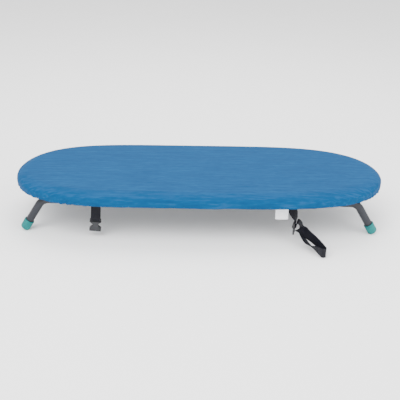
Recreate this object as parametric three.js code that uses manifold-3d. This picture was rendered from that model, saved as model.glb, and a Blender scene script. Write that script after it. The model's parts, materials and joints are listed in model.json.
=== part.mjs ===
// Table-top ironing board with two folding legs and a pair of closing straps.
// Millimetres, +Z up, +X to the right, -Y to the front. The origin is on the table under the
// middle of the board.
import * as THREE from "three";
import { mergeVertices } from "three/addons/utils/BufferGeometryUtils.js";
import Module from "manifold-3d";

const wasm = await Module();
wasm.setup();

// ---- Driving dimensions ----
const GAP = 0.3; // clearance between pieces that touch
const BOARD_LENGTH = 780;
const BOARD_WIDTH = 316;
const TOP_HEIGHT = 106; // ironing surface above the table
const LEFT_SQUARENESS = 4.8; // power of the outline's curve, higher is squarer
const RIGHT_SQUARENESS = 4.4;
const OUTLINE_SIDES = 72;
const EDGE_RADIUS = 12; // rounding of the padded top edge
const EDGE_STEPS = 3;

const CLOTH = 1; // cover
const HEM_WIDTH = 24; // cover turned under the board
const ELASTIC_WIDTH = 4;
const ELASTIC_THICKNESS = 1;
const PAD_THICKNESS = 9;

const SHEET = 1; // steel of the mesh, rim and rails
const RIM_HEIGHT = 15.4; // deck top to the bottom of its folded rim
const RIM_FLANGE = 6; // under the mesh
const RIM_RETURN = 10; // along the bottom
const VENT_LENGTH = 34;
const VENT_WIDTH = 7;
const VENT_PITCH_X = 50;
const VENT_PITCH_Y = 33;
const VENT_START_X = 62;
const VENT_COLUMNS = 4;
const VENT_ROWS = 7;

const END_RAIL_WIDTH = 76;
const END_RAIL_SHIFT = 6; // the end rail's middle lies this far outboard of the axle
const CENTRE_RAIL_WIDTH = 44;
const RAIL_FLANGE = 9;
const RAIL_HALF_SPAN = 104;

const TUBE_RADIUS = 8;
const TUBE_WALL = 1;
const TUBE_SIDES = 12;
const BEND_RADIUS = 25; // centreline of every bend
const CORNER_STEPS = 5;
const KNEE_STEPS = 3;
const AXLE_X = 270; // crossbar, which is the leg's hinge
const AXLE_DROP = 12; // axle below the rails
const KNEE_X = 322;
const LEG_HALF_SPACING = 96; // arms and feet from the middle
const LEG_TILT = THREE.MathUtils.degToRad(32); // leg from the vertical

const CAP_RADIUS = 10;
const CAP_CORNER = 6;
const CAP_LENGTH = 23;
const CAP_FLOOR = 3; // rubber under the tube's end
const CAP_SOLE = 0.8; // depth of the flat moulded on the lowest point

const BUSH_WALL = 1;
const BUSH_LENGTH = 24;
const ROUND_SIDES = 16;
const SADDLE_SHEET = 1.5;
const SADDLE_WIDTH = 20;
const SADDLE_FOOT = 16;
const SADDLE_Y = 50;
const SCREW_RADIUS = 2;
const SCREW_HEAD_RADIUS = 3.8;
const SCREW_HEAD_HEIGHT = 2;
const SCREW_LENGTH = 8;
const SCREW_SIDES = 10;
const STOP_PAD_LENGTH = 10;
const STOP_PAD_WIDTH = 14;
const STOP_PAD_SHIFT = 8; // the pads sit this far inboard of the arms, clear of the hem

const WEBBING_WIDTH = 19;
const WEBBING = 1.4;
const STRAP_Y = -126; // the straps hang here
const LEFT_STRAP_X = -207;
const LEFT_LEAN = THREE.MathUtils.degToRad(4);
const RIGHT_STRAP_X = 176;
const ANCHOR_LENGTH = 14;
const ANCHOR_WIDTH = 22;
const ANCHOR_SHEET = 1.2;
const ANCHOR_Y = -111;
const RIVET_HEAD_RADIUS = 3.4;
const RIVET_HEAD_HEIGHT = 1.2;
const RIVET_SPACING = 11;

const BUCKLE_THICKNESS = 8.4;
const BUCKLE_WALL = 1.8;
const BAR = 2.4; // side of each buckle bar
const SLOT = 2.9; // opening beside a bar
const SOCKET_LENGTH = 27.5;
const SOCKET_WAIST = 11;
const SOCKET_DROP = 53; // its bar below the webbing's anchor
const PLUG_TOP_Z = 38;
const PLUG_TURN = THREE.MathUtils.degToRad(75); // the plug hangs nearly edge on
const PLUG_THICKNESS = 5;
const TONGUE_LENGTH = 12.5;
const TONGUE_WIDTH = 4.4;
const PRONG_THICKNESS = 3.6;

const LABEL_WIDTH = 26;
const LABEL_LENGTH = 32;
const LABEL_THICKNESS = 0.6;
const LABEL_X = 163;

// ---- Heights and radii that follow ----
const PAD_TOP = TOP_HEIGHT - CLOTH - GAP;
const PAD_BOTTOM = PAD_TOP - PAD_THICKNESS;
const DECK_TOP = PAD_BOTTOM - GAP;
const DECK_UNDER = DECK_TOP - SHEET;
const RAIL_BOTTOM = DECK_TOP - RIM_HEIGHT;
const HEM_TOP = RAIL_BOTTOM - GAP;
const HEM_BOTTOM = HEM_TOP - CLOTH;
const AXLE_Z = RAIL_BOTTOM - AXLE_DROP;
const DECK_INSET = CLOTH + 2 * GAP;
const BUSH_BORE = roundOver(TUBE_RADIUS + GAP);
const BUSH_RADIUS = BUSH_BORE + BUSH_WALL;
const SADDLE_BORE = roundOver(BUSH_RADIUS + GAP);
const SADDLE_RADIUS = SADDLE_BORE + SADDLE_SHEET;
const SCREW_X = SADDLE_RADIUS + SADDLE_FOOT / 2;
const SCREW_HOLE = SCREW_RADIUS + 2 * GAP;
const FOOT_AXIS_Z = CAP_CORNER + (CAP_RADIUS - CAP_CORNER) * Math.sin(LEG_TILT)
  - CAP_CORNER * Math.cos(LEG_TILT) - CAP_SOLE;
const WEBBING_TOP = DECK_UNDER - GAP;
const WEBBING_Z = WEBBING_TOP - WEBBING / 2;
const ANCHOR_TOP = WEBBING_TOP - WEBBING - GAP;
const BUCKLE_HALF = WEBBING_WIDTH / 2 + GAP + BUCKLE_WALL;

// ---- Materials ----
const paint = (color, roughness, metalness) =>
  new THREE.MeshStandardMaterial({ color, roughness, metalness });
const clothBlue = paint("#628daf", 0.9, 0);
const foamGrey = paint("#d8d6cf", 0.95, 0);
const steelGrey = paint("#8c9096", 0.45, 0.9);
const zinc = paint("#b9bcc0", 0.35, 1);
const tubeGrey = paint("#595c66", 0.45, 0.3);
const rubberTeal = paint("#58a4a7", 0.6, 0);
const nylonBlack = paint("#22242c", 0.5, 0);
const webbingNavy = paint("#1d1e31", 0.85, 0);
const labelWhite = paint("#eceef0", 0.8, 0);

// ---- Helpers ----
const board = new THREE.Group();

// The corner radius of a polygon whose flats lie at least this far from the middle.
function roundOver(radius) {
  return radius / Math.cos(Math.PI / ROUND_SIDES);
}

function place(name, geometry, material, parent = board) {
  const mesh = new THREE.Mesh(geometry, material);
  mesh.name = name;
  parent.add(mesh);
  return mesh;
}

function solid(geometry) {
  const bare = geometry.clone();
  bare.deleteAttribute("normal");
  bare.deleteAttribute("uv");
  const merged = mergeVertices(bare, 1e-4);
  return new wasm.Manifold(new wasm.Mesh({
    numProp: 3,
    vertProperties: new Float32Array(merged.attributes.position.array),
    triVerts: new Uint32Array(merged.index.array),
  }));
}

function geometryOf(manifold) {
  const mesh = manifold.getMesh();
  const geometry = new THREE.BufferGeometry();
  geometry.setAttribute("position", new THREE.BufferAttribute(mesh.vertProperties, 3));
  geometry.setIndex(new THREE.BufferAttribute(mesh.triVerts, 1));
  geometry.computeVertexNormals();
  return geometry;
}

function block(width, depth, height, x, y, z) {
  return new THREE.BoxGeometry(width, depth, height).translate(x, y, z);
}

function slabBelow(z) {
  const size = 2 * BOARD_LENGTH;
  return block(size, size, size, 0, 0, z - size / 2);
}

// A prism standing on z, from points in the XY plane.
function prism(points, z, height) {
  const outline = new THREE.Shape(points);
  return new THREE.ExtrudeGeometry(outline, { depth: height, bevelEnabled: false }).translate(0, 0, z);
}

function upright(radius, bottom, top, x, y, sides = SCREW_SIDES) {
  return new THREE.CylinderGeometry(radius, radius, top - bottom, sides)
    .rotateX(Math.PI / 2).translate(x, y, (top + bottom) / 2);
}

// The board's outline, moved in by inset: |x / a| ^ power + (y / b) ^ 2 = 1.
function boardOutline(inset) {
  const a = BOARD_LENGTH / 2 - inset;
  const b = BOARD_WIDTH / 2 - inset;
  const points = [];
  for (let i = 0; i < OUTLINE_SIDES; i++) {
    const turn = (2 * Math.PI * (i + 0.5)) / OUTLINE_SIDES;
    const along = Math.cos(turn);
    const power = along < 0 ? LEFT_SQUARENESS : RIGHT_SQUARENESS;
    const x = a * Math.sign(along) * Math.abs(along) ** (2 / power);
    points.push(new THREE.Vector2(x, b * Math.sin(turn)));
  }
  return points;
}

// Half the board's width at x, for an outline moved in by inset.
function halfWidthAt(x, inset) {
  const power = x < 0 ? LEFT_SQUARENESS : RIGHT_SQUARENESS;
  const share = Math.abs(x) / (BOARD_LENGTH / 2 - inset);
  return (BOARD_WIDTH / 2 - inset) * Math.sqrt(1 - share ** power);
}

// A board-shaped block with its top edge rounded.
function crownedBlock(inset, bottom, top, radius) {
  const depth = top - bottom;
  const shape = new THREE.ExtrudeGeometry(new THREE.Shape(boardOutline(inset)), {
    depth,
    bevelThickness: radius,
    bevelSize: radius,
    bevelOffset: -radius,
    bevelSegments: EDGE_STEPS,
  });
  shape.translate(0, 0, top - depth - radius);
  return solid(shape).subtract(solid(slabBelow(bottom)));
}

const boardPrism = (inset, bottom, top) => solid(prism(boardOutline(inset), bottom, top - bottom));

// A line with rounded corners: only the ends of each straight and a few stations on each bend.
class BentPath extends THREE.Curve {
  constructor(corners, steps) {
    super();
    this.stations = [];
    corners.forEach((corner, i) => {
      if (i === 0 || i === corners.length - 1) {
        const other = corners[i === 0 ? 1 : i - 1];
        const tangent = corner.clone().sub(other).multiplyScalar(i === 0 ? -1 : 1).normalize();
        this.stations.push({ point: corner, tangent });
        return;
      }
      const before = corner.clone().sub(corners[i - 1]).normalize();
      const after = corners[i + 1].clone().sub(corner).normalize();
      const bend = before.angleTo(after);
      const start = corner.clone().addScaledVector(before, -BEND_RADIUS * Math.tan(bend / 2));
      const inward = after.clone().addScaledVector(before, -after.dot(before)).normalize();
      const centre = start.clone().addScaledVector(inward, BEND_RADIUS);
      for (let k = 0; k <= steps[i]; k++) {
        const turn = (bend * k) / steps[i];
        const point = centre.clone()
          .addScaledVector(inward, -BEND_RADIUS * Math.cos(turn))
          .addScaledVector(before, BEND_RADIUS * Math.sin(turn));
        const tangent = before.clone().multiplyScalar(Math.cos(turn))
          .addScaledVector(inward, Math.sin(turn));
        this.stations.push({ point, tangent });
      }
    });
  }

  station(u) {
    return this.stations[Math.round(u * (this.stations.length - 1))];
  }

  getPointAt(u, target = new THREE.Vector3()) {
    return target.copy(this.station(u).point);
  }

  getTangentAt(u, target = new THREE.Vector3()) {
    return target.copy(this.station(u).tangent);
  }
}

function ring(outer, inner, sides) {
  const circle = (radius, Kind) => {
    const points = [];
    for (let i = 0; i < sides; i++) {
      const turn = (2 * Math.PI * i) / sides;
      points.push(new THREE.Vector2(radius * Math.cos(turn), radius * Math.sin(turn)));
    }
    return new Kind(points);
  };
  const shape = circle(outer, THREE.Shape);
  shape.holes.push(circle(inner, THREE.Path));
  return shape;
}

// Flat webbing through the points of route; across gives its width's direction at each of them.
function webbing(route, across, steps) {
  const middle = new THREE.CatmullRomCurve3(route.map((p) => new THREE.Vector3(...p)));
  const sideways = new THREE.CatmullRomCurve3(across.map((p) => new THREE.Vector3(...p)));
  const ribbon = new THREE.BoxGeometry(WEBBING_WIDTH, WEBBING, 1, 1, 1, steps);
  const position = ribbon.attributes.position;
  const corner = new THREE.Vector3();
  for (let i = 0; i < position.count; i++) {
    corner.fromBufferAttribute(position, i);
    const u = corner.z + 0.5;
    const along = middle.getTangent(u);
    const wide = sideways.getPoint(u);
    wide.addScaledVector(along, -wide.dot(along)).normalize();
    const thick = along.clone().cross(wide);
    const at = middle.getPoint(u);
    at.addScaledVector(wide, corner.x).addScaledVector(thick, corner.y);
    position.setXYZ(i, at.x, at.y, at.z);
  }
  return ribbon;
}

// ---- Padded top ----
function makeCover() {
  const outside = crownedBlock(0, HEM_BOTTOM, TOP_HEIGHT, EDGE_RADIUS);
  const inside = crownedBlock(CLOTH, HEM_TOP, TOP_HEIGHT - CLOTH, EDGE_RADIUS - CLOTH);
  const mouth = boardPrism(CLOTH + HEM_WIDTH, HEM_BOTTOM - GAP, HEM_TOP + GAP);
  place("cover", geometryOf(outside.subtract(inside).subtract(mouth)), clothBlue);
}

function makePad() {
  const inset = CLOTH + GAP;
  place("pad", geometryOf(crownedBlock(inset, PAD_BOTTOM, PAD_TOP, EDGE_RADIUS - inset)), foamGrey);
}

function makeHemElastic() {
  const outer = CLOTH + HEM_WIDTH - ELASTIC_WIDTH - 2;
  const top = HEM_BOTTOM - GAP;
  const band = boardPrism(outer, top - ELASTIC_THICKNESS, top)
    .subtract(boardPrism(outer + ELASTIC_WIDTH, top - 2 * ELASTIC_THICKNESS, top + GAP));
  place("hem_elastic", geometryOf(band), webbingNavy);
}

// ---- Steel deck ----
function ventSlot(x, y) {
  const half = VENT_LENGTH / 2;
  const wide = VENT_WIDTH / 2;
  const outline = [[-half, 0], [wide - half, -wide], [half - wide, -wide], [half, 0],
    [half - wide, wide], [wide - half, wide]].map(([u, v]) => new THREE.Vector2(x + u, y + v));
  return solid(prism(outline, DECK_UNDER - SHEET, 3 * SHEET));
}

const anchors = { left: LEFT_STRAP_X, right: RIGHT_STRAP_X };

function makeDeck() {
  let mesh = boardPrism(DECK_INSET, DECK_UNDER, DECK_TOP);
  for (const side of [-1, 1]) {
    for (let column = 0; column < VENT_COLUMNS; column++) {
      for (let row = 0; row < VENT_ROWS; row++) {
        const x = side * (VENT_START_X + column * VENT_PITCH_X);
        mesh = mesh.subtract(ventSlot(x, (row - (VENT_ROWS - 1) / 2) * VENT_PITCH_Y));
      }
    }
  }
  for (const x of Object.values(anchors)) {
    for (const side of [-1, 1]) {
      const hole = upright(SCREW_HOLE, DECK_UNDER - GAP, DECK_TOP + GAP,
        x + (side * RIVET_SPACING) / 2, ANCHOR_Y);
      mesh = mesh.subtract(solid(hole));
    }
  }
  place("deck_mesh", geometryOf(mesh), steelGrey);

  // A channel rolled round the board: a wall with a flange above and a wider one below.
  const top = DECK_UNDER - GAP;
  const rim = boardPrism(DECK_INSET, RAIL_BOTTOM, top)
    .subtract(boardPrism(DECK_INSET + SHEET, RAIL_BOTTOM + SHEET, top - SHEET))
    .subtract(boardPrism(DECK_INSET + RIM_FLANGE, top - 2 * SHEET, top + SHEET))
    .subtract(boardPrism(DECK_INSET + RIM_RETURN, RAIL_BOTTOM - SHEET, RAIL_BOTTOM + 2 * SHEET));
  place("deck_rim", geometryOf(rim), steelGrey);
}

// A hat channel across the board, with its flat side down and its flanges up against the deck.
function hatChannel(middle, width) {
  const half = width / 2;
  const inner = half - RAIL_FLANGE;
  const top = DECK_UNDER - GAP;
  const right = [[half, top - SHEET], [half, top], [inner - SHEET, top],
    [inner - SHEET, RAIL_BOTTOM + SHEET]];
  const left = right.map(([x, z]) => [-x, z]).reverse();
  const outline = [[-inner, RAIL_BOTTOM], [inner, RAIL_BOTTOM], [inner, top - SHEET], ...right,
    ...left, [-inner, top - SHEET]];
  const points = outline.map(([x, z]) => new THREE.Vector2(middle + x, z));
  const depth = 2 * RAIL_HALF_SPAN;
  return new THREE.ExtrudeGeometry(new THREE.Shape(points), { depth, bevelEnabled: false })
    .rotateX(Math.PI / 2).translate(0, depth / 2, 0);
}

const sides = [["left", -1], ["right", 1]];
const ends = [["front", -1], ["rear", 1]];

function saddleScrews(side) {
  const spots = [];
  for (const [end, y] of ends) {
    for (const [where, x] of [["outer", 1], ["inner", -1]]) {
      spots.push({ name: `${end}_${where}`, x: side * (AXLE_X + x * SCREW_X), y: y * SADDLE_Y });
    }
  }
  return spots;
}

function makeRails() {
  place("rail_centre", hatChannel(0, CENTRE_RAIL_WIDTH), steelGrey);
  for (const [name, side] of sides) {
    let rail = solid(hatChannel(side * (AXLE_X + END_RAIL_SHIFT), END_RAIL_WIDTH + 2 * RAIL_FLANGE));
    for (const spot of saddleScrews(side)) {
      rail = rail.subtract(solid(upright(SCREW_HOLE, RAIL_BOTTOM - SHEET, RAIL_BOTTOM + 2 * SHEET,
        spot.x, spot.y)));
    }
    place(`rail_${name}`, geometryOf(rail), steelGrey);
  }
}

// ---- Hinges of the legs ----
function roundPiece(profile, segments) {
  return new THREE.LatheGeometry(profile.map(([r, z]) => new THREE.Vector2(r, z)), segments)
    .rotateX(Math.PI / 2);
}

function saddle(side, y) {
  const shape = new THREE.Shape();
  const top = HEM_TOP;
  const under = top - SADDLE_SHEET;
  const reach = SADDLE_RADIUS + SADDLE_FOOT;
  const arc = (radius, from, to) => {
    const points = [];
    for (let i = 0; i <= ROUND_SIDES / 2; i++) {
      const turn = from + ((to - from) * i) / (ROUND_SIDES / 2);
      points.push([radius * Math.cos(turn), AXLE_Z + radius * Math.sin(turn)]);
    }
    return points;
  };
  const outline = [
    [-reach, top], [-reach, under], [-SADDLE_RADIUS, under],
    ...arc(SADDLE_RADIUS, -Math.PI, 0),
    [SADDLE_RADIUS, under], [reach, under], [reach, top], [SADDLE_BORE, top],
    ...arc(SADDLE_BORE, 0, -Math.PI),
    [-SADDLE_BORE, top],
  ];
  outline.forEach(([x, z], i) => (i ? shape.lineTo(x, z) : shape.moveTo(x, z)));
  const strip = new THREE.ExtrudeGeometry(shape, { depth: SADDLE_WIDTH, bevelEnabled: false })
    .rotateX(Math.PI / 2).translate(side * AXLE_X, y + SADDLE_WIDTH / 2, 0);
  return solid(strip);
}

function makeHinges() {
  for (const [name, side] of sides) {
    for (const [end, front] of ends) {
      const y = front * SADDLE_Y;
      const bush = new THREE.ExtrudeGeometry(ring(BUSH_RADIUS, BUSH_BORE, ROUND_SIDES),
        { depth: BUSH_LENGTH, bevelEnabled: false });
      bush.rotateX(Math.PI / 2).translate(side * AXLE_X, y + BUSH_LENGTH / 2, AXLE_Z);
      place(`bush_${name}_${end}`, bush, nylonBlack);
      let strap = saddle(side, y);
      for (const spot of saddleScrews(side).filter((s) => s.y === y)) {
        strap = strap.subtract(solid(upright(SCREW_HOLE, RAIL_BOTTOM - 4 * SHEET, RAIL_BOTTOM,
          spot.x, spot.y)));
      }
      place(`saddle_${name}_${end}`, geometryOf(strap), zinc);
      const pad = block(STOP_PAD_LENGTH, STOP_PAD_WIDTH, HEM_TOP - AXLE_Z - TUBE_RADIUS - GAP,
        side * (AXLE_X + BEND_RADIUS + STOP_PAD_LENGTH / 2),
        front * (LEG_HALF_SPACING - STOP_PAD_SHIFT),
        (HEM_TOP + AXLE_Z + TUBE_RADIUS + GAP) / 2);
      place(`stop_pad_${name}_${end}`, pad, nylonBlack);
    }
    const headTop = HEM_TOP - SADDLE_SHEET - GAP;
    for (const spot of saddleScrews(side)) {
      const screw = roundPiece([
        [0, headTop - SCREW_HEAD_HEIGHT], [SCREW_HEAD_RADIUS * 0.7, headTop - SCREW_HEAD_HEIGHT],
        [SCREW_HEAD_RADIUS, headTop - SCREW_HEAD_HEIGHT / 2], [SCREW_HEAD_RADIUS, headTop],
        [SCREW_RADIUS, headTop], [SCREW_RADIUS, headTop + SCREW_LENGTH], [0, headTop + SCREW_LENGTH],
      ], SCREW_SIDES).translate(spot.x, spot.y, 0);
      place(`screw_${name}_${spot.name}`, screw, zinc);
    }
  }
}

// ---- Legs ----
function makeLegs() {
  const steps = [0, KNEE_STEPS, CORNER_STEPS, CORNER_STEPS, KNEE_STEPS, 0];
  const capEnd = new THREE.Vector3(KNEE_X + (AXLE_Z - FOOT_AXIS_Z) * Math.tan(LEG_TILT), 0, FOOT_AXIS_Z);
  const down = new THREE.Vector3(Math.sin(LEG_TILT), 0, -Math.cos(LEG_TILT));
  for (const [name, side] of sides) {
    const mirrored = (v, y) => new THREE.Vector3(side * v.x, y, v.z);
    const half = (y) => [
      mirrored(capEnd.clone().addScaledVector(down, -CAP_FLOOR - GAP), y),
      new THREE.Vector3(side * KNEE_X, y, AXLE_Z),
      new THREE.Vector3(side * AXLE_X, y, AXLE_Z),
    ];
    const path = new BentPath([...half(-LEG_HALF_SPACING), ...half(LEG_HALF_SPACING).reverse()], steps);
    const tube = new THREE.ExtrudeGeometry(ring(TUBE_RADIUS, TUBE_RADIUS - TUBE_WALL, TUBE_SIDES),
      { steps: path.stations.length - 1, extrudePath: path, bevelEnabled: false });
    place(`leg_${name}`, tube, tubeGrey);

    const bore = (TUBE_RADIUS + GAP) / Math.cos(Math.PI / TUBE_SIDES);
    const flat = CAP_RADIUS - CAP_CORNER;
    const corner = [1, 2, 3].map((i) => {
      const turn = (i * Math.PI) / 6;
      return [flat + CAP_CORNER * Math.sin(turn), CAP_CORNER * (1 - Math.cos(turn))];
    });
    const cup = [[0, 0], [flat, 0], ...corner, [CAP_RADIUS, CAP_LENGTH], [bore, CAP_LENGTH],
      [bore, CAP_FLOOR], [0, CAP_FLOOR]];
    for (const [end, front] of ends) {
      const foot = new THREE.LatheGeometry(cup.map(([r, z]) => new THREE.Vector2(r, z)), TUBE_SIDES);
      foot.rotateX(Math.PI / 2).rotateY(-side * LEG_TILT)
        .translate(side * capEnd.x, front * LEG_HALF_SPACING, capEnd.z);
      const trimmed = solid(foot).subtract(solid(slabBelow(0)));
      place(`foot_cap_${name}_${end}`, geometryOf(trimmed), rubberTeal);
    }
  }
}

// ---- Closing straps ----
// A point of the left strap, which leans a little: so far below its anchor, and so far rearward.
const leftHang = (drop, rearward) => [
  LEFT_STRAP_X - drop * Math.sin(LEFT_LEAN),
  STRAP_Y + rearward,
  WEBBING_Z - drop * Math.cos(LEFT_LEAN),
];

// Flat under the deck, then down, round the top bar of the socket and back up on itself.
const leftRoute = [
  [LEFT_STRAP_X, ANCHOR_Y + ANCHOR_LENGTH / 2, WEBBING_Z],
  [LEFT_STRAP_X, ANCHOR_Y - ANCHOR_LENGTH / 2, WEBBING_Z],
  leftHang(0.6, 4),
  leftHang(4.5, 0),
  leftHang(14, -0.4),
  leftHang(28, -0.9),
  leftHang(40, -1.2),
  leftHang(47, -2.4),
  leftHang(51.5, -3.1),
  leftHang(54.8, -2.4),
  leftHang(56.1, 0),
  leftHang(54.8, 2.5),
  leftHang(51.5, 3),
  leftHang(46, 2.3),
  leftHang(38, 1.4),
  leftHang(28, 1.2),
];
const leftAcross = (place) => (place < 3 ? [1, 0, 0]
  : [Math.cos(LEFT_LEAN), 0, -Math.sin(LEFT_LEAN)]);

// Directions of the plug's frame: across its width and out of its face.
const plugAcross = new THREE.Vector3(-Math.cos(PLUG_TURN), -Math.sin(PLUG_TURN), 0);
const plugFace = new THREE.Vector3(-Math.sin(PLUG_TURN), Math.cos(PLUG_TURN), 0);
const plugTop = new THREE.Vector3(190.5, STRAP_Y - 3, PLUG_TOP_Z);
const inPlug = (down, out) => [
  plugTop.x + out * plugFace.x,
  plugTop.y + out * plugFace.y,
  plugTop.z - down,
];
const plugSide = [-plugAcross.x, -plugAcross.y, 0];

// Under the deck, down with a quarter twist, round the plug's middle bar, and out as a long
// tail that lies on its edge on the table and turns back on itself. Each point has the
// direction of the webbing's width there.
const rightRoute = [
  [[RIGHT_STRAP_X, ANCHOR_Y + ANCHOR_LENGTH / 2, WEBBING_Z], [1, 0, 0]],
  [[RIGHT_STRAP_X, ANCHOR_Y - ANCHOR_LENGTH / 2, WEBBING_Z], [1, 0, 0]],
  [[RIGHT_STRAP_X, STRAP_Y + 4, WEBBING_Z - 0.6], [1, 0, 0]],
  [[RIGHT_STRAP_X + 0.7, STRAP_Y, WEBBING_Z - 4.5], [1, 0, -0.1]],
  [[179.5, STRAP_Y - 0.6, 80], [1, 0, -0.25]],
  [[184.5, STRAP_Y - 1, 67], [0.95, 0.12, -0.3]],
  [[189.5, STRAP_Y - 1.8, 55], [0.8, 0.5, -0.2]],
  [inPlug(-8, -2.4), [0.4, 0.92, 0]],
  [inPlug(-3, -2.6), plugSide],
  [inPlug(0, -2.6), plugSide],
  [inPlug(2, -2), plugSide],
  [inPlug(2.8, -0.3), plugSide],
  [inPlug(3.1, 1.8), plugSide],
  [inPlug(5.3, 2.8), plugSide],
  [inPlug(7.5, 2.1), plugSide],
  [inPlug(8, -0.4), plugSide],
  [inPlug(6.8, -3.3), plugSide],
  [inPlug(3, -4.7), plugSide],
  [inPlug(-1.5, -5.2), plugSide],
  [inPlug(-4.6, -7.6), [0.2, 0.97, 0.1]],
  [[202.2, -132.6, 38.5], [0.2, 0.93, 0.3]],
  [[205.5, -136.5, 30.5], [0.15, 0.8, 0.58]],
  [[211, -144, 24.5], [0.05, 0.55, 0.83]],
  [[219.5, -155.5, 21.2], [0, 0.35, 0.94]],
  [[227, -168, 19], [0, 0.2, 0.98]],
  [[234.5, -182, 15.8], [0, 0.1, 1]],
  [[240.8, -193.5, 11.9], [0, 0.03, 1]],
  [[243.2, -199.5, 10.6], [0, 0, 1]],
  [[240.8, -204.3, 10.3], [0, 0, 1]],
  [[235.4, -202.8, 10.3], [0, 0, 1]],
  [[229.5, -192, 10.3], [-0.1, -0.05, 1]],
  [[222.5, -178.5, 9.4], [-0.45, -0.2, 0.87]],
  [[215.5, -165.5, 9.4], [-0.65, -0.3, 0.7]],
];

function makeAnchor(name, x) {
  const holes = [-1, 1].map((side) => x + (side * RIVET_SPACING) / 2);
  let plate = solid(block(ANCHOR_WIDTH, ANCHOR_LENGTH, ANCHOR_SHEET, x, ANCHOR_Y,
    ANCHOR_TOP - ANCHOR_SHEET / 2));
  const headTop = ANCHOR_TOP - ANCHOR_SHEET - GAP;
  holes.forEach((at, i) => {
    const hole = upright(SCREW_HOLE, headTop, DECK_TOP, at, ANCHOR_Y);
    plate = plate.subtract(solid(hole));
    const rivet = roundPiece([
      [0, headTop - RIVET_HEAD_HEIGHT], [RIVET_HEAD_RADIUS * 0.6, headTop - RIVET_HEAD_HEIGHT],
      [RIVET_HEAD_RADIUS, headTop - RIVET_HEAD_HEIGHT / 3], [RIVET_HEAD_RADIUS, headTop],
      [SCREW_RADIUS, headTop], [SCREW_RADIUS, DECK_TOP - GAP], [0, DECK_TOP - GAP],
    ], SCREW_SIDES).translate(at, ANCHOR_Y, 0);
    place(`rivet_${name}_${i + 1}`, rivet, zinc);
  });
  place(`anchor_plate_${name}`, geometryOf(plate), zinc);
  return holes;
}

function makeStrap(name, geometry) {
  let strap = solid(geometry);
  for (const at of makeAnchor(name, anchors[name])) {
    strap = strap.subtract(solid(upright(SCREW_HOLE, ANCHOR_TOP - GAP, DECK_UNDER, at, ANCHOR_Y)));
  }
  place(`strap_${name}`, geometryOf(strap), webbingNavy);
}

// Buckle halves are drawn flat, with X across, Y up from the top bar, and Z through them.
function flatPiece(outline, holes, thickness) {
  const shape = new THREE.Shape(outline.map(([x, y]) => new THREE.Vector2(x, y)));
  for (const hole of holes) {
    shape.holes.push(new THREE.Path(hole.map(([x, y]) => new THREE.Vector2(x, y))));
  }
  const depth = thickness;
  return new THREE.ExtrudeGeometry(shape, { depth, bevelEnabled: false }).translate(0, 0, -depth / 2);
}

const mirroredOutline = (right) => [...right.map(([x, y]) => [-x, y]), ...right.slice().reverse()];

function slotHole(top) {
  const half = WEBBING_WIDTH / 2 + GAP;
  return [[-half, top], [half, top], [half, top - SLOT], [-half, top - SLOT]];
}

function makeSocket() {
  const waist = SOCKET_WAIST / 2;
  const outline = mirroredOutline([
    [BUCKLE_HALF - 1.5, BAR / 2], [BUCKLE_HALF, -1], [BUCKLE_HALF, -6.5], [waist, -10.5],
    [waist, -15.5], [BUCKLE_HALF, -20], [BUCKLE_HALF, BAR / 2 - SOCKET_LENGTH],
  ]);
  const body = solid(flatPiece(outline, [slotHole(-BAR / 2)], BUCKLE_THICKNESS));
  const cavity = solid(block(2 * (BUCKLE_HALF - 1.6), 16, PLUG_THICKNESS + 2 * GAP, 0,
    -SOCKET_LENGTH + 4, 0));
  // The bar and its neighbours are thinner than the mouth.
  const relief = [-1, 1].map((z) =>
    solid(block(3 * BUCKLE_HALF, 10, BUCKLE_THICKNESS, 0, -1, z * (BAR / 2 + BUCKLE_THICKNESS / 2))));
  const socket = body.subtract(cavity).subtract(relief[0]).subtract(relief[1]);
  const shape = geometryOf(socket);
  shape.rotateX(Math.PI / 2).rotateY(LEFT_LEAN).translate(...leftHang(SOCKET_DROP, 0));
  place("buckle_socket", shape, nylonBlack);
}

function makePlug() {
  const base = BAR * 3 + SLOT * 2;
  const outline = mirroredOutline([
    [BUCKLE_HALF - 1.5, BAR / 2], [BUCKLE_HALF, -0.5], [BUCKLE_HALF, BAR / 2 - base + 1],
    [BUCKLE_HALF - 1.5, BAR / 2 - base], [TONGUE_WIDTH / 2, BAR / 2 - base],
    [TONGUE_WIDTH / 2, BAR / 2 - base - TONGUE_LENGTH + 2], [1, BAR / 2 - base - TONGUE_LENGTH],
  ]);
  const slots = [slotHole(-BAR / 2), slotHole(-BAR * 1.5 - SLOT)];
  const frame = new THREE.Matrix4().makeBasis(plugAcross, new THREE.Vector3(0, 0, 1), plugFace);
  frame.setPosition(plugTop);
  const put = (name, shape) => place(name, shape.applyMatrix4(frame), nylonBlack);
  put("buckle_plug", flatPiece(outline, slots, BAR + 0.4));
  const root = BAR / 2 - base - GAP;
  for (const [name, side] of [["prong_front", 1], ["prong_rear", -1]]) {
    const prong = [[4.9, root], [7.6, root], [8.2, root - 5], [10, root - 7.2], [8, root - 11.4],
      [5.5, root - 12], [5.6, root - 7]].map(([x, y]) => [side * x, y]);
    put(`buckle_${name}`, flatPiece(side > 0 ? prong : prong.reverse(), [], PRONG_THICKNESS));
  }
}

function makeLabel() {
  const top = HEM_BOTTOM - GAP;
  const y = LABEL_THICKNESS + ELASTIC_WIDTH / 4
    - halfWidthAt(LABEL_X + LABEL_WIDTH / 2, CLOTH + HEM_WIDTH - ELASTIC_WIDTH / 2);
  place("care_label", block(LABEL_WIDTH, LABEL_THICKNESS, LABEL_LENGTH, LABEL_X, y,
    top - LABEL_LENGTH / 2), labelWhite);
}

makeCover();
makePad();
makeHemElastic();
makeDeck();
makeRails();
makeHinges();
makeLegs();
makeStrap("left", webbing(leftRoute, leftRoute.map((_, place) => leftAcross(place)), 34));
makeStrap("right", webbing(rightRoute.map(([at]) => at), rightRoute.map(([, wide]) => wide), 84));
makeSocket();
makePlug();
makeLabel();

export default board;
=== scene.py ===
import json
import math

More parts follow.
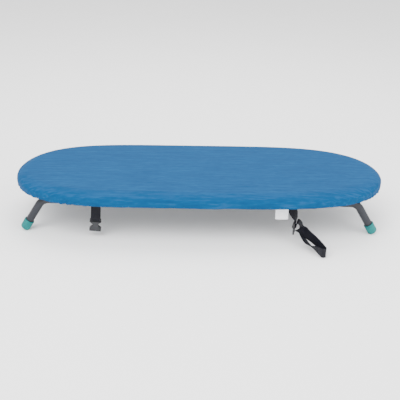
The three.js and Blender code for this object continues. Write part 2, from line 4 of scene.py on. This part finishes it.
import bmesh
import bpy
import numpy as np
from mathutils import Matrix, Vector, noise


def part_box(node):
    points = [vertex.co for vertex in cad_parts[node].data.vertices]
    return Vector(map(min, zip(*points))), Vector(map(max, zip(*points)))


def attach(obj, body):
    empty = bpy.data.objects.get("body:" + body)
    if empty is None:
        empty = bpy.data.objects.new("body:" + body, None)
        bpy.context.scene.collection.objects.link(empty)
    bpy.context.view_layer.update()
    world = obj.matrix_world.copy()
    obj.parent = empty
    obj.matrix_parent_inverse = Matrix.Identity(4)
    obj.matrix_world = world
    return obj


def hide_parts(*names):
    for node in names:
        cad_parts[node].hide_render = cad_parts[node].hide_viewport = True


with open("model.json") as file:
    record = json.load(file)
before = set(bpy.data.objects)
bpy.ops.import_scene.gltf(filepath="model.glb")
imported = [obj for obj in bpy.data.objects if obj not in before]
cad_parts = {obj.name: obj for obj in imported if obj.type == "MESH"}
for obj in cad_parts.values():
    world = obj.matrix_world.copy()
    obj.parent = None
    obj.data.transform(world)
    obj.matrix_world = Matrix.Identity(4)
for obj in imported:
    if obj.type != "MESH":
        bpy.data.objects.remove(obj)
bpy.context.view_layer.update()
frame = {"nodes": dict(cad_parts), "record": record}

MM = 0.001
SIDES = (("left", -1), ("right", 1))
ENDS = (("front", -1), ("rear", 1))

# ---- Sizes of the CAD design, in mm ----
TOP, HEM_BOTTOM = 106.0, 78.7
HALF_LENGTH, HALF_WIDTH = 390.0, 158.0
LEFT_POWER, RIGHT_POWER = 4.8, 4.4
AXLE_X, AXLE_Z, KNEE_X = 270.0, 68.0, 322.0
LEG_Y, BEND, TUBE, TILT = 96.0, 25.0, 8.0, math.radians(32)
CAP, CAP_CORNER, CAP_FLOOR, SOLE = 10.0, 6.0, 3.0, 0.8
WEBBING_Z = 93.4
STRAP_X_LEFT, STRAP_X_RIGHT, STRAP_Y = -207, 176, -126.0
WEBBING_WIDTH, WEBBING_THICK = 19, 1.4
LEAN = math.radians(4)  # of the left strap


# ---- Camera ----
def look():
    azimuth, elevation, roll = (math.radians(a) for a in (-1.17, 23.2, -1.24))
    distance, target = 1.4, Vector((0, 0, 0.06))
    back = Vector((math.sin(azimuth) * math.cos(elevation),
                   -math.cos(azimuth) * math.cos(elevation), math.sin(elevation)))
    right = Vector((math.cos(azimuth), math.sin(azimuth), 0))
    up = back.cross(right)
    across = math.cos(roll) * right - math.sin(roll) * up
    upward = math.sin(roll) * right + math.cos(roll) * up
    data = bpy.data.cameras.new("camera")
    data.sensor_width, data.lens = 36, 57.6
    data.shift_x, data.shift_y = 0.00075, -0.034
    data.clip_start, data.clip_end = 0.05, 50
    camera = bpy.data.objects.new("camera", data)
    bpy.context.scene.collection.objects.link(camera)
    place = Matrix((across, upward, back)).transposed().to_4x4()
    place.translation = target + distance * back
    camera.matrix_world = place
    bpy.context.scene.camera = camera


def lights():
    for name, spot, aim, size, power in (
        ("key", (-0.9, -1.3, 1.9), (0, 0, 0.08), 1.6, 62),
        ("fill", (1.5, -1.2, 1.2), (0, 0, 0.08), 1.8, 30),
        ("top", (0.1, 0.9, 2.1), (0, 0, 0.1), 1.6, 36),
    ):
        data = bpy.data.lights.new(name, "AREA")
        data.shape, data.size, data.energy = "SQUARE", size, power
        lamp = bpy.data.objects.new(name, data)
        bpy.context.scene.collection.objects.link(lamp)
        lamp.location = spot
        lamp.rotation_euler = (Vector(aim) - Vector(spot)).to_track_quat("-Z", "Y").to_euler()
    world = bpy.data.worlds.new("studio")
    world.use_nodes = True
    ground = world.node_tree.nodes["Background"]
    ground.inputs["Color"].default_value = (1, 1, 1, 1)
    ground.inputs["Strength"].default_value = 1.7
    bpy.context.scene.world = world


# ---- Materials ----
def linear(r, g, b):
    return tuple(((c / 255 + 0.055) / 1.055) ** 2.4 if c > 10 else c / 255 / 12.92 for c in (r, g, b)) + (1,)


class Finish:
    """A material built from nodes: each method adds nodes and returns an output socket."""

    def __init__(self, name, roughness, metallic=0.0, **more):
        self.material = bpy.data.materials.new(name)
        self.material.use_nodes = True
        self.tree = self.material.node_tree
        self.shader = self.tree.nodes["Principled BSDF"]
        self.shader.inputs["Roughness"].default_value = roughness
        self.shader.inputs["Metallic"].default_value = metallic
        for key, value in more.items():
            self.shader.inputs[key.replace("_", " ")].default_value = value
        self.where = self.tree.nodes.new("ShaderNodeTexCoord")

    def add(self, kind, **links):
        """A node with its inputs linked or set, by name, or by number as i0, i1."""
        node = self.tree.nodes.new("ShaderNode" + kind)
        for key, value in links.items():
            key = int(key[1:]) if key.startswith("i") and key[1:].isdigit() else key.replace("_", " ")
            if isinstance(value, bpy.types.NodeSocket):
                self.tree.links.new(value, node.inputs[key])
            else:
                node.inputs[key].default_value = value
        return node

    def spread(self, scale, space="Object", turn=0.0):
        return self.add("Mapping", Vector=self.where.outputs[space], Scale=scale,
                        Rotation=(0, 0, turn)).outputs["Vector"]

    def noise(self, scale, stretch=(1, 1, 1), detail=4.0, space="Object"):
        return self.add("TexNoise", Vector=self.spread(stretch, space), Scale=scale,
                        Detail=detail).outputs["Fac"]

    def wave(self, scale, stretch=(1, 1, 1), space="Object", turn=0.0, distortion=0.0):
        return self.add("TexWave", Vector=self.spread(stretch, space, turn), Scale=scale,
                        Distortion=distortion).outputs["Fac"]

    def ramp(self, factor, stops):
        node = self.add("ValToRGB", Fac=factor)
        marks = node.color_ramp.elements
        while len(marks) < len(stops):
            marks.new(0.5)
        for mark, (at, colour) in zip(marks, stops):
            mark.position, mark.color = at, colour
        return node.outputs["Color"]

    def math(self, kind, a, b):
        node = self.add("Math", i0=a, i1=b)
        node.operation = kind
        return node.outputs["Value"]

    def colour(self, socket):
        self.tree.links.new(socket, self.shader.inputs["Base Color"])

    def rough(self, factor, low, high):
        node = self.add("MapRange", Value=factor)
        node.inputs["To Min"].default_value = low
        node.inputs["To Max"].default_value = high
        self.tree.links.new(node.outputs["Result"], self.shader.inputs["Roughness"])

    def bump(self, height, strength, distance):
        node = self.add("Bump", Height=height, Strength=strength, Distance=distance)
        self.tree.links.new(node.outputs["Normal"], self.shader.inputs["Normal"])


def cover_cloth():
    f = Finish("cover_cloth", 0.85, Sheen_Weight=0.05, Sheen_Roughness=0.45, Specular_IOR_Level=0.12)
    f.shader.inputs["Sheen Tint"].default_value = linear(120, 165, 205)
    streaks = f.noise(120, (0.12, 2.2, 1.4), 7)
    flecks = f.noise(260, (0.28, 1.5, 1.0), 3)
    mixed = f.math("ADD", f.math("MULTIPLY", streaks, 0.62), f.math("MULTIPLY", flecks, 0.38))
    f.colour(f.ramp(mixed, [(0.3, linear(8, 56, 96)), (0.5, linear(13, 65, 107)),
                            (0.7, linear(24, 77, 120))]))
    weft = f.wave(190, (0.0, 1, 1))
    warp = f.wave(190, (1, 0.0, 0.0))
    slub = f.noise(420, (0.5, 1, 1), 2)
    cloth = f.math("ADD", f.math("MULTIPLY", weft, warp), f.math("MULTIPLY", slub, 0.6))
    f.bump(cloth, 0.35, 0.0003)
    f.rough(streaks, 0.78, 0.95)
    return f.material


def foam():
    f = Finish("foam", 0.95, Sheen_Weight=0.15)
    cells = f.add("TexVoronoi", Vector=f.spread((1, 1, 1)), Scale=900.0).outputs["Distance"]
    f.colour(f.ramp(f.noise(30), [(0.35, linear(205, 200, 188)), (0.7, linear(226, 222, 212))]))
    f.bump(cells, 0.5, 0.0004)
    return f.material


def elastic():
    f = Finish("elastic", 0.9, Sheen_Weight=0.2)
    ribs = f.wave(420, (1, 1, 0.2), turn=0.6)
    f.colour(f.ramp(f.noise(120), [(0.3, linear(58, 74, 88)), (0.7, linear(84, 104, 122))]))
    f.bump(ribs, 0.5, 0.0003)
    return f.material


def webbing():
    f = Finish("webbing", 0.6, Sheen_Weight=0.03, Sheen_Roughness=0.4, Specular_IOR_Level=0.25)
    f.shader.inputs["Sheen Tint"].default_value = linear(120, 122, 150)
    ribs = f.wave(95, (1, 0.9, 0), "UV", 0.9)
    counter = f.wave(95, (1, -0.9, 0), "UV", -0.9)
    yarn = f.math("MAXIMUM", ribs, counter)
    worn = f.noise(24, (1, 3, 1), 5, "UV")
    tone = f.math("ADD", f.math("MULTIPLY", yarn, 0.45), f.math("MULTIPLY", worn, 0.55))
    f.colour(f.ramp(tone, [(0.3, linear(2, 2, 8)), (0.6, linear(5, 5, 17)), (0.85, linear(14, 15, 34))]))
    f.bump(yarn, 0.6, 0.0004)
    return f.material


def coated(name, dark, light, roughness, peel=0.0002):
    """Powder coat: a faint orange peel and slightly uneven gloss."""
    f = Finish(name, roughness, Coat_Weight=0.06, Coat_Roughness=0.35, Specular_IOR_Level=0.3)
    peeled = f.noise(850, detail=3)
    f.colour(f.ramp(f.noise(14, detail=6), [(0.3, dark), (0.7, light)]))
    f.rough(f.noise(60, detail=5), roughness - 0.08, roughness + 0.1)
    f.bump(peeled, 0.25, peel)
    return f.material


def rubber():
    f = Finish("foot_rubber", 0.55, Coat_Weight=0.05, Specular_IOR_Level=0.25)
    f.colour(f.ramp(f.noise(45, detail=6), [(0.3, linear(0, 92, 94)), (0.7, linear(2, 116, 114))]))
    f.rough(f.noise(160, detail=5), 0.48, 0.7)
    f.bump(f.noise(700, detail=4), 0.2, 0.0002)
    return f.material


def moulded(name, dark, light, roughness):
    f = Finish(name, roughness)
    f.colour(f.ramp(f.noise(60, detail=6), [(0.3, dark), (0.7, light)]))
    f.rough(f.noise(240, detail=4), roughness - 0.08, roughness + 0.12)
    f.bump(f.noise(1500, detail=3), 0.18, 0.0001)
    return f.material


def zinc():
    f = Finish("zinc", 0.34, 1.0)
    f.colour(f.ramp(f.noise(70, detail=7), [(0.3, linear(172, 176, 180)), (0.7, linear(206, 209, 214))]))
    f.rough(f.noise(200, (0.2, 2, 1), 5), 0.26, 0.48)
    f.bump(f.noise(600, (0.15, 2.5, 1), 4), 0.15, 0.0001)
    return f.material


def label_cloth():
    f = Finish("label", 0.6, Sheen_Weight=0.2)
    f.colour(f.ramp(f.noise(60, (1, 1, 3), 5), [(0.3, linear(228, 231, 235)), (0.7, linear(243, 245, 247))]))
    f.bump(f.math("ADD", f.wave(380, (1, 0, 0)), f.wave(380, (0, 0, 1))), 0.2, 0.0001)
    return f.material


MATERIALS = {
    "cover_cloth": cover_cloth(),
    "foam": foam(),
    "elastic": elastic(),
    "webbing": webbing(),
    "deck_steel": coated("deck_steel", linear(84, 88, 94), linear(108, 112, 119), 0.42),
    "leg_paint": coated("leg_paint", linear(26, 27, 33), linear(36, 38, 45), 0.4),
    "foot_rubber": rubber(),
    "hinge_nylon": moulded("hinge_nylon", linear(24, 25, 30), linear(34, 36, 42), 0.5),
    "buckle_plastic": moulded("buckle_plastic", linear(20, 21, 25), linear(34, 36, 41), 0.36),
    "zinc": zinc(),
    "label": label_cloth(),
}


# ---- Mesh helpers ----
def made(name, points, faces, slot, body="board", uvs=None):
    """A smooth-shaded piece from points in mm, riding on a body."""
    mesh = bpy.data.meshes.new(name)
    mesh.from_pydata([tuple(MM * c for c in p) for p in points], [], faces)
    mesh.materials.append(MATERIALS[slot])
    mesh.polygons.foreach_set("use_smooth", [True] * len(mesh.polygons))
    if uvs is not None:
        layer = mesh.uv_layers.new(name="UVMap")
        for loop in mesh.loops:
            layer.data[loop.index].uv = uvs[loop.vertex_index]
    mesh.validate()
    mesh.update()
    piece = bpy.data.objects.new(name, mesh)
    bpy.context.scene.collection.objects.link(piece)
    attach(piece, body)
    return piece


def outward(piece):
    """Turns every face of a closed piece outwards."""
    work = bmesh.new()
    work.from_mesh(piece.data)
    bmesh.ops.recalc_face_normals(work, faces=work.faces)
    work.to_mesh(piece.data)
    work.free()
    return piece


def rows_to_faces(rows, columns, closed_rows=False):
    """Quads between rows of points, each row closed round on itself."""
    faces = []
    for r in range(rows if closed_rows else rows - 1):
        a, b = r * columns, (r + 1) % rows * columns
        for c in range(columns):
            d = (c + 1) % columns
            faces.append((a + c, a + d, b + d, b + c))
    return faces


def smooth_route(points, steps):
    """A centripetal Catmull-Rom curve through points, at evenly spread parameters."""
    p = np.array(points, float)
    p = np.vstack([2 * p[0] - p[1], p, 2 * p[-1] - p[-2]])
    spans = len(p) - 3
    out = []
    for k in range(steps + 1):
        place = spans * k / steps
        i = min(int(place), spans - 1)
        four = p[i:i + 4]
        t = [0.0]
        for a, b in zip(four[:-1], four[1:]):
            t.append(t[-1] + max(np.linalg.norm((b - a)[:3]), 1e-6) ** 0.5)
        at = t[1] + (place - i) * (t[2] - t[1])
        mix = lambda a, b, ta, tb: (tb - at) / (tb - ta) * a + (at - ta) / (tb - ta) * b
        a1, a2, a3 = (mix(four[j], four[j + 1], t[j], t[j + 1]) for j in range(3))
        b1, b2 = mix(a1, a2, t[0], t[2]), mix(a2, a3, t[1], t[3])
        out.append(mix(b1, b2, t[1], t[2]))
    return np.array(out)


def unit(v):
    return v / np.linalg.norm(v)


def band(name, route, across, steps, width, thick, slot, body="board"):
    """Flat webbing with rounded edges along a route. Returns the piece and its centreline."""
    both = smooth_route([list(a) + list(b) for a, b in zip(route, across)], steps)
    line, wide = both[:, :3], both[:, 3:]
    tangents = np.gradient(line, axis=0)
    travelled = np.concatenate([[0], np.cumsum(np.linalg.norm(np.diff(line, axis=0), axis=1))])
    w, t = width / 2, thick / 2
    section = []
    for side in (1, -1):
        for k in range(5):
            turn = math.pi * (k / 4 - 0.5)
            section.append((side * (w - t + t * math.cos(turn)), side * t * math.sin(turn)))
        for share in (0.6, 0.2, -0.2, -0.6):
            section.append((side * share * (w - t), side * t))
    points, uvs = [], []
    for i, centre in enumerate(line):
        along = unit(tangents[i])
        side = unit(wide[i] - along * wide[i].dot(along))
        face = np.cross(along, side)
        for a, b in section:
            ripple = 0.12 * math.sin(travelled[i] * 0.55 + (2 if a > 0 else 0)) * (abs(a) / w) ** 3
            points.append(centre + a * side + (b + ripple) * face)
            uvs.append((travelled[i] * MM * 10, a * MM * 10))
    n = len(section)
    faces = rows_to_faces(len(line), n)
    faces += [tuple(range(n)), tuple(range((len(line) - 1) * n, len(line) * n))[::-1]]
    return outward(made(name, points, faces, slot, body, uvs)), line


def tube(name, line, radius, slot, body, sides=28):
    """A round bar along a line, with its frame carried from point to point."""
    line = np.array(line, float)
    tangents = np.gradient(line, axis=0)
    side = unit(np.cross(tangents[0], (0.3, 1, 0.2)))
    points = []
    for centre, along in zip(line, tangents):
        along = unit(along)
        side = unit(side - along * side.dot(along))
        other = np.cross(along, side)
        for k in range(sides):
            turn = 2 * math.pi * k / sides
            points.append(centre + radius * (math.cos(turn) * side + math.sin(turn) * other))
    faces = rows_to_faces(len(line), sides)
    faces += [tuple(range(sides)), tuple(range((len(line) - 1) * sides, len(line) * sides))[::-1]]
    return outward(made(name, points, faces, slot, body))


# ---- The padded board ----
OUTLINE = 960  # points round the board
GATHER_RATE = 0.72  # radians of gather per mm of hem


def outline(inset, grow=1.0):
    """The board's outline moved in by inset, as (x, y) columns."""
    a, b = (HALF_LENGTH - inset) * grow, (HALF_WIDTH - inset) * grow
    turn = 2 * np.pi * (np.arange(OUTLINE) + 0.5) / OUTLINE
    along = np.cos(turn)
    power = np.where(along < 0, LEFT_POWER, RIGHT_POWER)
    return np.stack([a * np.sign(along) * np.abs(along) ** (2 / power), b * np.sin(turn)], 1)


EDGE = outline(0)
EDGE_TANGENT = np.roll(EDGE, -1, 0) - np.roll(EDGE, 1, 0)
EDGE_TANGENT /= np.linalg.norm(EDGE_TANGENT, axis=1, keepdims=True)
EDGE_OUT = np.stack([EDGE_TANGENT[:, 1], -EDGE_TANGENT[:, 0]], 1)
EDGE_LENGTH = np.concatenate([[0], np.cumsum(np.linalg.norm(np.diff(EDGE, axis=0), axis=1))])
PERIMETER = EDGE_LENGTH[-1] + np.linalg.norm(EDGE[0] - EDGE[-1])


def at_edge(x, y):
    return EDGE_LENGTH[np.argmin(np.hypot(EDGE[:, 0] - x, EDGE[:, 1] - y))]


def gathers():
    """Puckers where the drawn hem pulls the cloth: (place, width, depth, slope), all in mm."""
    rng = np.random.default_rng(11)
    folds = []
    place = 0.0
    while place < PERIMETER:
        i = np.argmin(np.abs(EDGE_LENGTH - place))
        round_end = abs(EDGE[i, 0]) > 290
        folds.append((place, rng.uniform(3, 6.5), rng.uniform(0.35, 1.0) * (1.3 if round_end else 0.75),
                      rng.uniform(-0.9, 0.9)))
        place += rng.uniform(9, 22) if round_end else rng.uniform(16, 58)
    for x, width, depth, slope in ((-303, 5, 2.6, 1.1), (-291, 4, 2.3, 1.4), (-279, 5, 3.0, 1.2),
                                   (-264, 5, 2.2, 0.9), (-228, 4, 1.2, -0.6), (-193, 4, 1.1, 0.5),
                                   (3, 3, 1.3, 0.1), (12, 4, 0.9, -0.3), (150, 5, 0.8, 0.7)):
        folds.append((at_edge(x, -150), width, depth, slope))
    return folds


FOLDS = gathers()


def pucker(low):
    """Outward bulge of the side of the cover at each outline point, low mm above the hem."""
    total = np.zeros(OUTLINE)
    for place, width, depth, slope in FOLDS:
        away = EDGE_LENGTH - place - slope * low
        away = (away + PERIMETER / 2) % PERIMETER - PERIMETER / 2
        fade = max(0.0, 1 - low / 21) ** 1.3
        spread = width * (1 + low / 26)
        total += depth * fade * (np.exp(-(away / spread) ** 2)
                                 - 0.75 * np.exp(-((away - 1.7 * spread) / (0.8 * spread)) ** 2))
    return total


def sideways(x, y, step):
    return noise.noise(Vector((x * 0.012, y * 0.012, step)))


def make_cover():
    points = []
    rings = 26
    for k in range(1, rings + 1):
        share = k / rings
        flat = outline(27, share)
        for x, y in flat:
            soft = 0.22 * noise.noise(Vector((x * 0.011, y * 0.016, 3.1)))
            crown = 0.35 * (1 - share ** 3)
            points.append((x, y, TOP - 0.75 + crown + soft))
    edge_rows = [(27 - 26.8 * math.sin(a) ** 1.15, TOP - 0.75 - 13 * (1 - math.cos(a)))
                 for a in np.linspace(0.1, math.pi / 2, 16)]
    side_rows = [(0.2 + 0.9 * s ** 2, TOP - 13.75 - (TOP - 13.75 - HEM_BOTTOM - 1.4) * s)
                 for s in np.linspace(0.08, 1, 16)]
    hem_rows = [(1.5, HEM_BOTTOM + 0.75), (2.2, HEM_BOTTOM + 0.35), (3.3, HEM_BOTTOM + 0.12),
                (5, HEM_BOTTOM + 0.06), (8, HEM_BOTTOM + 0.06), (12, HEM_BOTTOM + 0.06),
                (16, HEM_BOTTOM + 0.06), (20, HEM_BOTTOM + 0.06), (23.8, HEM_BOTTOM + 0.06)]
    waver = np.array([noise.noise(Vector((x * 0.03, y * 0.03, 9.0))) for x, y in EDGE])
    for inset, z in edge_rows + side_rows + hem_rows:
        ring = outline(inset)
        low = max(z - HEM_BOTTOM, 0.0)
        push = pucker(low) if z < TOP - 4 else np.zeros(OUTLINE)
        under = inset > 1.4 and z < HEM_BOTTOM + 1
        if under:
            push = push * max(0.0, 1 - (inset - 1.5) / 4)
        for i, (x, y) in enumerate(ring):
            out = EDGE_OUT[i] * max(-0.9, push[i])
            rise = 0.0 if under and inset > 4 else max(0.0, waver[i] * 0.9) * math.exp(-low / 5)
            gather = 0.0
            if inset > 10 and under:
                gather = 0.16 * (1 + math.sin(EDGE_LENGTH[i] * GATHER_RATE + 2 * waver[i]))
            points.append((x + out[0], y + out[1], z + rise + gather))
    rows = len(points) // OUTLINE
    faces = rows_to_faces(rows, OUTLINE)
    points.append((0, 0, TOP - 0.4))
    faces += [(len(points) - 1, (c + 1) % OUTLINE, c) for c in range(OUTLINE)]
    uvs = [(p[0] * MM, p[1] * MM) for p in points]
    cover = outward(made("cover_cloth_piece", points, faces, "cover_cloth", uvs=uvs))
    shell = cover.modifiers.new("cloth thickness", "SOLIDIFY")
    shell.thickness = 0.9 * MM
    shell.offset = -1
    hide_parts("cover")
    return cover


def make_pad():
    low, high = 95.9, 104.0
    rows = [(60, low), (6, low), (4.4, low + 0.15), (3.7, low + 0.7)]
    rows += [(27 - 23.6 * math.sin(a), high - 0.9 - 9.4 * (1 - math.cos(a)))
             for a in np.linspace(1.2, 0, 10)]
    rows += [(45, high - 0.6)]
    points = []
    for inset, z in rows:
        points += [(x, y, z + 0.1 * sideways(x, y, z)) for x, y in outline(inset)[::2]]
    n = OUTLINE // 2
    faces = rows_to_faces(len(rows), n)
    faces += [tuple(range(n)), tuple(range((len(rows) - 1) * n, len(rows) * n))[::-1]]
    pad = outward(made("foam_pad", points, faces, "foam"))
    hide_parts("pad")
    return pad


def make_elastic():
    """A flat braid run through the hem's edge, a little wavy where the cloth is gathered."""
    mid = outline(23)
    points = []
    sections = 8
    for i, (x, y) in enumerate(mid):
        wave = 0.12 * math.sin(EDGE_LENGTH[i] * GATHER_RATE)
        for k in range(sections):
            turn = 2 * math.pi * k / sections
            out = 1.75 * math.copysign(abs(math.cos(turn)) ** 0.6, math.cos(turn)) + wave
            points.append((x + out * EDGE_OUT[i, 0], y + out * EDGE_OUT[i, 1],
                           HEM_BOTTOM - 0.75 + 0.42 * math.sin(turn)))
    faces = rows_to_faces(OUTLINE, sections, closed_rows=True)
    braid = outward(made("hem_braid", points, faces, "elastic"))
    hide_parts("hem_elastic")
    return braid


# ---- Legs ----
def bent(corners, radius, steps):
    line = [corners[0]]
    for before, corner, after in zip(corners[:-2], corners[1:-1], corners[2:]):
        a, b = unit(corner - before), unit(after - corner)
        bend = math.acos(np.clip(a.dot(b), -1, 1))
        start = corner - a * radius * math.tan(bend / 2)
        inward = unit(b - a * b.dot(a))
        centre = start + inward * radius
        for k in range(steps + 1):
            turn = bend * k / steps
            line.append(centre - inward * radius * math.cos(turn) + a * radius * math.sin(turn))
    line.append(corners[-1])
    return line


def evened(line, gap):
    """The line with extra points, so that no span is longer than gap."""
    out = [line[0]]
    for a, b in zip(line[:-1], line[1:]):
        parts = max(1, math.ceil(np.linalg.norm(b - a) / gap))
        out += [a + (b - a) * k / parts for k in range(1, parts + 1)]
    return out


def make_legs():
    foot_z = CAP_CORNER + (CAP - CAP_CORNER) * math.sin(TILT) - CAP_CORNER * math.cos(TILT) - SOLE
    foot_x = KNEE_X + (AXLE_Z - foot_z) * math.tan(TILT)
    for name, side in SIDES:
        axis = np.array((-side * math.sin(TILT), 0, math.cos(TILT)))
        corners = []
        for front in (-1, 1):
            y = front * LEG_Y
            arm = [np.array((side * foot_x, y, foot_z)) + axis * (CAP_FLOOR + 0.3),
                   np.array((side * KNEE_X, y, AXLE_Z)), np.array((side * AXLE_X, y, AXLE_Z))]
            corners += arm if front < 0 else arm[::-1]
        leg = tube(f"leg_tube_{name}", evened(bent(corners, BEND, 12), 8), TUBE, "leg_paint", f"leg_{name}")
        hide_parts(f"leg_{name}")
        for end, front in ENDS:
            make_cap(name, end, np.array((side * foot_x, front * LEG_Y, foot_z)), axis)


def make_cap(name, end, foot, axis):
    profile = [(0, 0), (1.5, 0), (3, 0)]
    profile += [(4 + 6 * math.sin(a), 6 * (1 - math.cos(a))) for a in np.linspace(0, math.pi / 2, 10)]
    profile += [(10, 9), (10, 13), (10, 17), (9.95, 18.6), (9.45, 18.9), (9.45, 19.4), (10.1, 19.8),
                (10.3, 20.6), (10.3, 22.0), (10.0, 22.8), (9.4, 23.0), (8.7, 22.9), (8.35, 22.4),
                (8.3, 20), (8.3, 12), (8.3, 4), (7.9, 3.1), (4, 3.1), (0, 3.1)]
    across = np.cross((0.0, 1.0, 0.0), axis)
    sides = 48
    points = []
    for radius, height in profile:
        for k in range(sides):
            turn = 2 * math.pi * k / sides
            spot = foot + axis * height + max(radius, 0.02) * (
                math.cos(turn) * across + math.sin(turn) * np.array((0.0, 1.0, 0.0)))
            points.append((spot[0], spot[1], max(spot[2], 0.0)))
    faces = rows_to_faces(len(profile), sides)
    faces += [tuple(range(sides)), tuple(range((len(profile) - 1) * sides, len(profile) * sides))[::-1]]
    cap = outward(made(f"cap_{name}_{end}", points, faces, "foot_rubber", f"leg_{name}"))
    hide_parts(f"foot_cap_{name}_{end}")


# ---- Straps ----
def left_hang(drop, rearward):
    return (STRAP_X_LEFT - drop * math.sin(LEAN), STRAP_Y + rearward, WEBBING_Z - drop * math.cos(LEAN))


PLUG_TURN = math.radians(75)
PLUG_ACROSS = (-math.cos(PLUG_TURN), -math.sin(PLUG_TURN), 0)
PLUG_FACE = (-math.sin(PLUG_TURN), math.cos(PLUG_TURN), 0)
PLUG_SIDE = (-PLUG_ACROSS[0], -PLUG_ACROSS[1], 0)


def in_plug(down, out):
    return (190.5 + out * PLUG_FACE[0], STRAP_Y - 3 + out * PLUG_FACE[1], 38 - down)


def make_straps():
    drops = [(0.6, 4), (4.5, 0), (14, -0.4), (28, -0.9), (40, -1.2), (47, -2.4), (51.5, -3.1),
             (54.8, -2.4), (56.1, 0), (54.8, 2.5), (51.5, 3), (46, 2.3), (38, 1.4), (28, 1.2)]
    route = [(STRAP_X_LEFT, -104, WEBBING_Z), (STRAP_X_LEFT, -118, WEBBING_Z)]
    route += [left_hang(*d) for d in drops]
    across = [(1, 0, 0)] * 3 + [(math.cos(LEAN), 0, -math.sin(LEAN))] * (len(drops) - 1)
    strap, line = band("webbing_left", route, across, 240, WEBBING_WIDTH, WEBBING_THICK, "webbing")
    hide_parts("strap_left")

    stations = [
        ((STRAP_X_RIGHT, -104, WEBBING_Z), (1, 0, 0)),
        ((STRAP_X_RIGHT, -118, WEBBING_Z), (1, 0, 0)),
        ((STRAP_X_RIGHT, STRAP_Y + 4, WEBBING_Z - 0.6), (1, 0, 0)),
        ((176.7, STRAP_Y, WEBBING_Z - 4.5), (1, 0, -0.1)),
        ((179.5, STRAP_Y - 0.6, 80), (1, 0, -0.25)),
        ((184.5, STRAP_Y - 1, 67), (0.95, 0.12, -0.3)),
        ((189.5, STRAP_Y - 1.8, 55), (0.8, 0.5, -0.2)),
        (in_plug(-8, -2.4), (0.4, 0.92, 0)),
    ]
    stations += [(in_plug(*p), PLUG_SIDE) for p in (
        (-3, -2.6), (0, -2.6), (2, -2), (2.8, -0.3), (3.1, 1.8), (5.3, 2.8), (7.5, 2.1), (8, -0.4),
        (6.8, -3.3), (3, -4.7), (-1.5, -5.2))]
    stations += [
        (in_plug(-4.6, -7.6), (0.2, 0.97, 0.1)),
        ((202.2, -132.6, 38.5), (0.2, 0.93, 0.3)),
        ((205.5, -136.5, 30.5), (0.15, 0.8, 0.58)),
        ((211, -144, 24.5), (0.05, 0.55, 0.83)),
        ((219.5, -155.5, 21.2), (0, 0.35, 0.94)),
        ((227, -168, 19), (0, 0.2, 0.98)),
        ((234.5, -182, 15.8), (0, 0.1, 1)),
        ((240.8, -193.5, 11.9), (0, 0.03, 1)),
        ((243.2, -199.5, 10.6), (0, 0, 1)),
        ((240.8, -204.3, 10.3), (0, 0, 1)),
        ((235.4, -202.8, 10.3), (0, 0, 1)),
        ((229.5, -193, 9.8), (-0.2, -0.1, 0.98)),
        ((222, -179.5, 8.2), (-0.6, -0.3, 0.75)),
        ((214.5, -166.5, 9.5), (-0.8, -0.4, 0.5)),
        ((207.5, -153.5, 15), (-0.75, -0.3, 0.6)),
        ((202.5, -144, 22.5), (-0.6, 0.1, 0.78)),
        ((198.8, -139, 30), (-0.4, 0.5, 0.75)),
    ]
    strap, line = band("webbing_right", [s[0] for s in stations], [s[1] for s in stations], 520,
                       WEBBING_WIDTH, WEBBING_THICK, "webbing")
    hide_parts("strap_right")


def make_label():
    x_mid, top, width, height = 163.0, HEM_BOTTOM - 0.3, 26.0, 32.0
    front = float(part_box("care_label")[0][1]) / MM
    columns, rows = 14, 18
    points = []
    for face in (0, 1):
        for r in range(rows):
            for c in range(columns):
                u, v = c / (columns - 1), r / (rows - 1)
                curl = 1.6 * v ** 2 * math.sin(math.pi * u) - 0.5 * v * (u - 0.5)
                points.append((x_mid + (u - 0.5) * width + 0.5 * v, front - curl - 0.4 * face,
                               top - v * height + 0.5 * v * v))
    faces = []
    size = rows * columns
    for r in range(rows - 1):
        for c in range(columns - 1):
            a = r * columns + c
            quad = (a, a + 1, a + columns + 1, a + columns)
            faces += [quad, tuple(i + size for i in quad[::-1])]
    rim = [c for c in range(columns)] + [r * columns + columns - 1 for r in range(1, rows)]
    rim += [(rows - 1) * columns + c for c in range(columns - 2, -1, -1)]
    rim += [r * columns for r in range(rows - 2, 0, -1)]
    faces += [(a, b, b + size, a + size) for a, b in zip(rim, rim[1:] + rim[:1])]
    label = outward(made("label_cloth", points, faces, "label"))
    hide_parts("care_label")


# ---- CAD pieces that stay ----
def finish_cad():
    replaced = {"cover", "pad", "hem_elastic", "leg_left", "leg_right", "strap_left", "strap_right",
                "care_label"}
    for entry in frame["record"]["subparts"]:
        name, slot = entry["node"], entry["material_slot"]
        piece = frame["nodes"][name]
        if name in replaced or name.startswith("foot_cap"):
            continue
        piece.data.materials.clear()
        piece.data.materials.append(MATERIALS[slot])
        if name == "deck_mesh":
            continue
        edge = piece.modifiers.new("worn edge", "BEVEL")
        edge.limit_method, edge.angle_limit = "ANGLE", math.radians(32)
        edge.width = (0.7 if name.startswith("buckle") else 0.3) * MM
        edge.segments = 3
    

def make_floor():
    mesh = bpy.data.meshes.new("floor")
    mesh.from_pydata([(-6, -4, 0), (6, -4, 0), (6, 8, 0), (-6, 8, 0)], [], [(0, 1, 2, 3)])
    f = Finish("floor", 0.7)
    f.colour(f.ramp(f.noise(3), [(0.2, (0.965, 0.965, 0.965, 1)), (0.8, (0.985, 0.985, 0.985, 1))]))
    mesh.materials.append(f.material)
    floor = bpy.data.objects.new("floor", mesh)
    bpy.context.scene.collection.objects.link(floor)
    floor.location.z = -0.0005


look()
make_straps()
lights()
make_floor()
cover = make_cover()
pad = make_pad()
braid = make_elastic()
make_legs()
make_label()
finish_cad()
